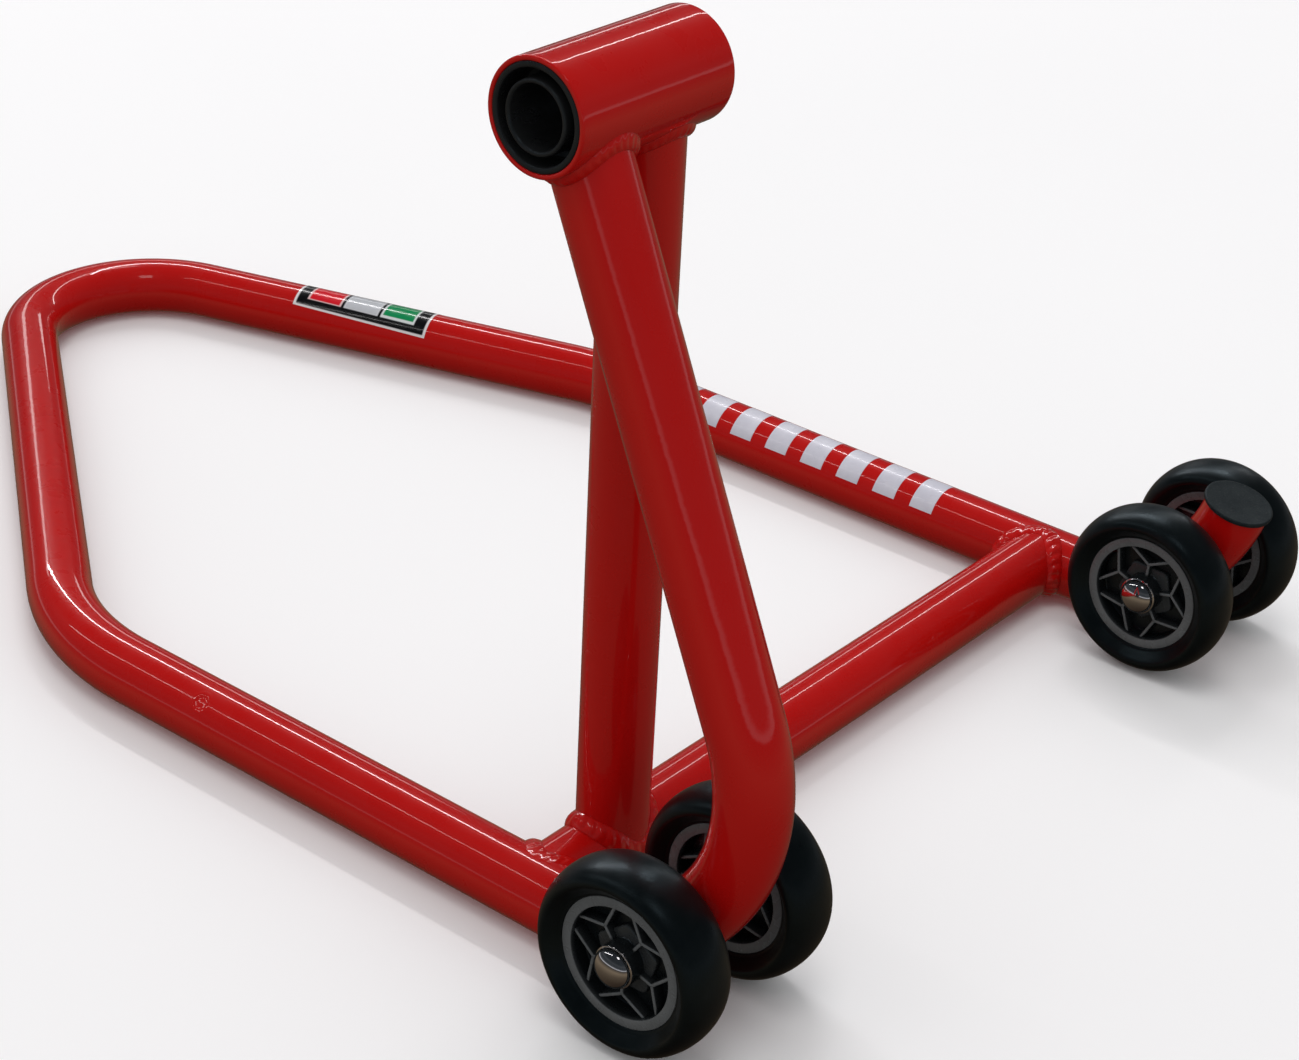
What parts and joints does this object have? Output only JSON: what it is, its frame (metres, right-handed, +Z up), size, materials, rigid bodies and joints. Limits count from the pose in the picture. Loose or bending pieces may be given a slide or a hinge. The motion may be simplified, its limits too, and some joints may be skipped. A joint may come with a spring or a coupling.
{
  "type": "paddock stand",
  "caption": "Motorcycle paddock stand for a single-sided swingarm: welded tube loop with a skewed handle, paired wheels, leaning uprights and a bushed pin receiver.",
  "frame": {"origin": "centre of the footprint, on the floor", "axes": "+X along the axles from the pin receiver's side to the far side, which is the way the lift pin leaves toward the motorcycle; +Y from the wheels toward the handle; +Z up"},
  "size_m": [0.5012, 0.7353, 0.3883],
  "materials": {
    "red_paint": "glossy bright red coat over welded steel tube",
    "bush_plastic": "semi-gloss black",
    "plug_plastic": "fine matte grain",
    "axle_steel": "zinc plated",
    "cap_chrome": "bright",
    "tyre_rubber": "satin black",
    "core_plastic": "dark grey moulding",
    "label_film": "printed film of plain colour blocks",
    "white_film": "plain white film bars"
  },
  "bodies": {
    "frame": {"handle_loop_tube": "red_paint", "front_upright_tube": "red_paint", "rear_upright_tube": "red_paint", "crossbar_tube": "red_paint", "pin_receiver_tube": "red_paint", "axle_sleeve_pin_side": "red_paint", "axle_sleeve_far_side": "red_paint", "weld_crossbar_pin_side": "red_paint", "weld_crossbar_far_side": "red_paint", "weld_rear_upright_foot": "red_paint", "weld_rear_upright_head": "red_paint", "weld_front_upright_head": "red_paint", "weld_loop_butt_joint": "red_paint", "weld_axle_sleeve_pin_side": "red_paint", "weld_axle_sleeve_far_side": "red_paint", "receiver_bush_pin_side": "bush_plastic", "receiver_bush_far_side": "bush_plastic", "tube_end_plug": "plug_plastic", "axle_rod_pin_side": "axle_steel", "axle_rod_far_side": "axle_steel", "axle_side_spacers": "axle_steel", "axle_dome_caps": "cap_chrome", "handle_label": "label_film", "arm_stripe_marks": "white_film"},
    "pin_side_outer_wheel": {"tyre_pin_side_outer": "tyre_rubber", "wheel_core_pin_side_outer": "core_plastic"},
    "pin_side_inner_wheel": {"tyre_pin_side_inner": "tyre_rubber", "wheel_core_pin_side_inner": "core_plastic"},
    "far_side_inner_wheel": {"tyre_far_side_inner": "tyre_rubber", "wheel_core_far_side_inner": "core_plastic"},
    "far_side_outer_wheel": {"tyre_far_side_outer": "tyre_rubber", "wheel_core_far_side_outer": "core_plastic"}
  },
  "joints": [
    {"name": "pin_side_outer_wheel_spin", "type": "hinge", "parent": "frame", "child": "pin_side_outer_wheel", "pos_m": [-0.233, -0.32291, 0.0425], "axis": [1, 0, 0], "continuous": true},
    {"name": "pin_side_inner_wheel_spin", "type": "hinge", "parent": "frame", "child": "pin_side_inner_wheel", "pos_m": [-0.166, -0.32291, 0.0425], "axis": [1, 0, 0], "continuous": true},
    {"name": "far_side_inner_wheel_spin", "type": "hinge", "parent": "frame", "child": "far_side_inner_wheel", "pos_m": [0.166, -0.32291, 0.0425], "axis": [1, 0, 0], "continuous": true},
    {"name": "far_side_outer_wheel_spin", "type": "hinge", "parent": "frame", "child": "far_side_outer_wheel", "pos_m": [0.233, -0.32291, 0.0425], "axis": [1, 0, 0], "continuous": true}
  ]
}
